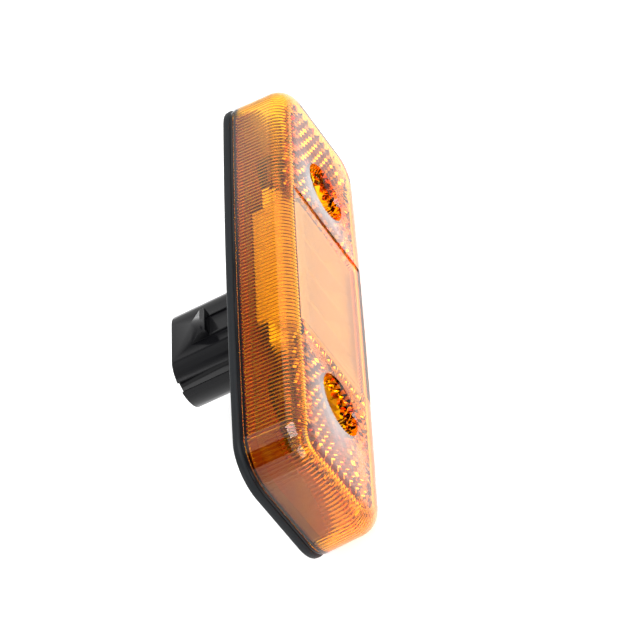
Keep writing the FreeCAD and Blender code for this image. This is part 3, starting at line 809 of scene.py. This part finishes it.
world = bpy.data.worlds.new("studio")
bpy.context.scene.world = world
world.use_nodes = True
tree = world.node_tree
back = tree.nodes["Background"]
back.inputs["Color"].default_value = (1, 1, 1, 1)
lift = math_node(tree, "MULTIPLY", seen_directly(tree), WORLD_LIFT)
tree.links.new(math_node(tree, "ADD", lift, WORLD_LIGHT), back.inputs["Strength"])
print("floor at", round(low / MM, 2), "mm")

# %% [markdown]
# ### Cards
# A glossy wall that mirrors only white looks milky, and one that mirrors only black looks dull. Two cards hang
# where mirror images fall. The one for the near wall glows at the far end and fades out towards the camera, so
# the sheen on the wall fades as it does in the photograph. The other is black and darkens the lens's near
# corner. They are part of the studio, not of the lamp.

# %% Cards over the lamp
CARD_Z = 0.66
FADE_X, FADE_GLOW = (0.72, 1.02), (0.2, 1.3)


def hang_card(name, x, y):
    """A flat card over the lamp, with a black matt material that can be made to glow."""
    card = flat_sheet(name, x, y, CARD_Z)
    material = bpy.data.materials.new(name)
    material.use_nodes = True
    shader = material.node_tree.nodes["Principled BSDF"]
    shader.inputs["Base Color"].default_value = (0.01, 0.01, 0.01, 1)
    shader.inputs["Roughness"].default_value = 1.0
    dress(card, material)
    return material.node_tree, shader


tree, shader = hang_card("graded_card", (0.5, 1.2), (0.05, 0.62))
shader.inputs["Emission Color"].default_value = (1, 1, 1, 1)
place = tree.nodes.new("ShaderNodeTexCoord")
split = tree.nodes.new("ShaderNodeSeparateXYZ")
tree.links.new(place.outputs["Object"], split.inputs[0])
fade = tree.nodes.new("ShaderNodeMapRange")
fade.interpolation_type = "SMOOTHSTEP"
for socket, value in zip(("From Min", "From Max", "To Min", "To Max"), FADE_X + FADE_GLOW):
    fade.inputs[socket].default_value = value
tree.links.new(split.outputs["X"], fade.inputs["Value"])
tree.links.new(fade.outputs["Result"], shader.inputs["Emission Strength"])
hang_card("black_card", (-0.8, -0.12), (0.06, 0.5))
print("cards hung")

# %% [markdown]
# ### Lamps and camera
# Four large area lamps give the soft light of a product photograph: one above, one behind the camera, one in
# front that reaches into the cells behind the window, and one low on the left. The camera was fitted to the
# photograph: the outline of the lens, its rim and its wells fall where they do there. It is set by its three
# axes, because it is turned on its side.

# %% Lamps and camera
LAMP_AIM = Vector((0.0, -0.006, 0.0))


def soft_lamp(name, place, wide, high, watts):
    """An area lamp that looks at the middle of the piece."""
    data = bpy.data.lights.new(name, "AREA")
    data.shape = "RECTANGLE"
    data.size, data.size_y = wide, high
    data.energy = watts
    lamp = bpy.data.objects.new(name, data)
    lamp.location = place
    lamp.rotation_euler = (LAMP_AIM - Vector(place)).to_track_quat("-Z", "Y").to_euler()
    bpy.context.scene.collection.objects.link(lamp)


soft_lamp("overhead", (0.1, -0.3, 0.9), wide=0.7, high=0.6, watts=8.5)
soft_lamp("behind_camera", (-0.9, -0.6, 0.5), wide=0.6, high=0.6, watts=4.2)
soft_lamp("front_fill", (0.0, -0.9, 0.12), wide=0.7, high=0.7, watts=2.2)
soft_lamp("low_left", (-0.5, 0.6, 0.3), wide=0.5, high=0.5, watts=3.0)

camera = bpy.data.objects.new("camera", bpy.data.cameras.new("camera"))
bpy.context.scene.collection.objects.link(camera)
camera.data.lens = 161.634
camera.data.sensor_width = 36.0
camera.data.clip_start = 0.01
right = Vector((-0.04341, -0.86498, -0.49992))
up = Vector((0.66122, -0.39999, 0.63466))
forward = Vector((0.74894, 0.30300, -0.58931))
turned = Matrix((right, up, -forward)).transposed().to_4x4()
camera.matrix_world = Matrix.Translation(Vector((-0.43739, -0.18642, 0.33945))) @ turned
bpy.context.scene.camera = camera
bpy.context.scene.view_settings.view_transform = "Standard"
print("camera placed")

# %% [markdown]
# ## Finish
# The view layer is brought up to date at the end.

# %% Update the view layer
bpy.context.view_layer.update()
